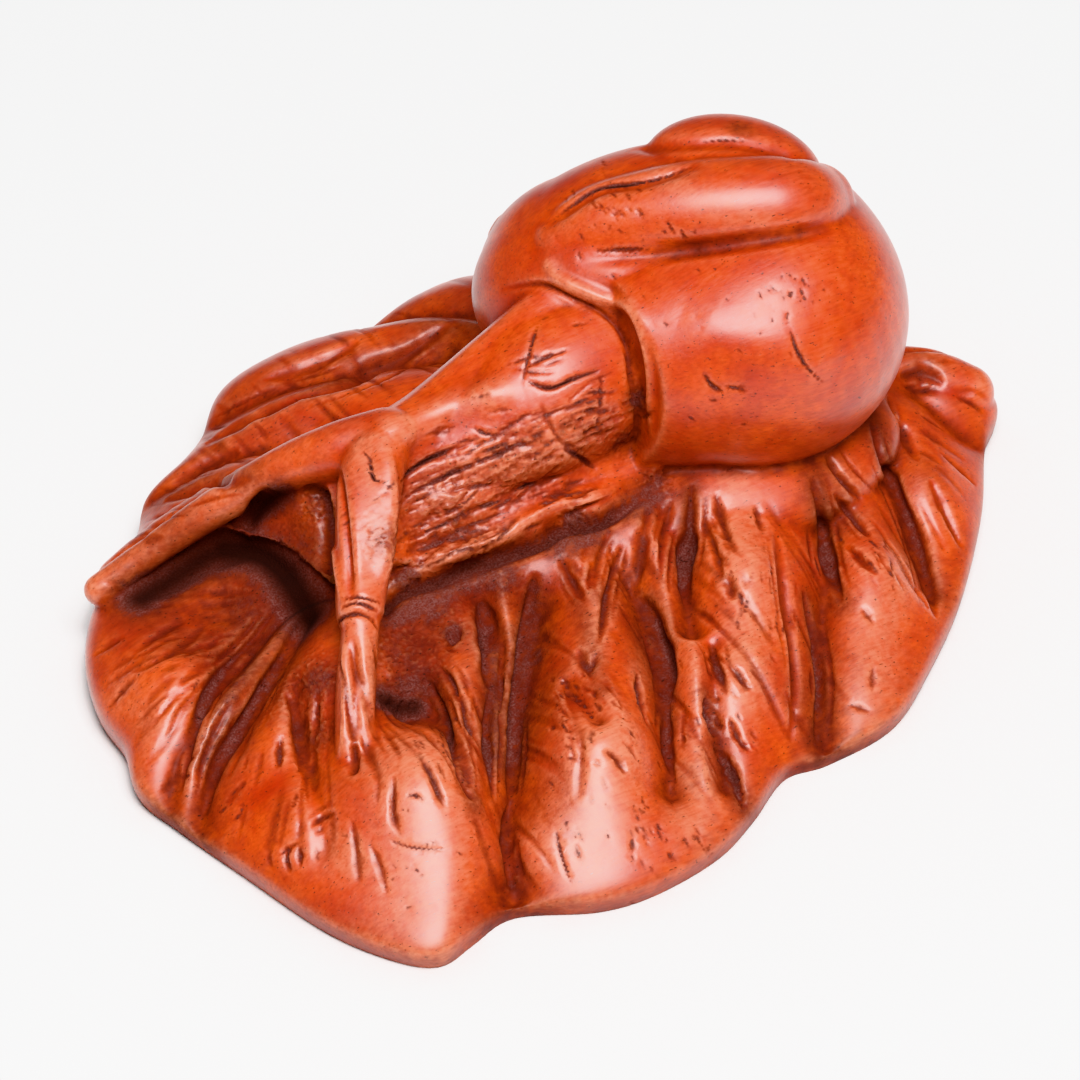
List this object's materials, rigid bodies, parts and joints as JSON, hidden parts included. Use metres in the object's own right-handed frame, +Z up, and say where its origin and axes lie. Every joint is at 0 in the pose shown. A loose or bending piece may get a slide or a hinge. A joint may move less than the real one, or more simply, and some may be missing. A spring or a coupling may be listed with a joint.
{
  "type": "snail on leaf netsuke",
  "caption": "Carved boxwood netsuke: a snail with extended tentacles crosses a domed, furrowed leaf; flat underside with a bowed channel for its cord.",
  "frame": {"origin": "middle of the flat underside, under the centre of the bounding box", "axes": "+Z up from the surface that it rests on; +X along the leaf, from the snail's head to the leaf's rolled stem end; the snail's left side faces -Y"},
  "size_m": [0.0549, 0.0445, 0.0216],
  "materials": {
    "stained_boxwood": "stained red-brown and waxed, darker in the cuts"
  },
  "bodies": {
    "root": {"snail_on_leaf": "stained_boxwood"}
  },
  "joints": []
}
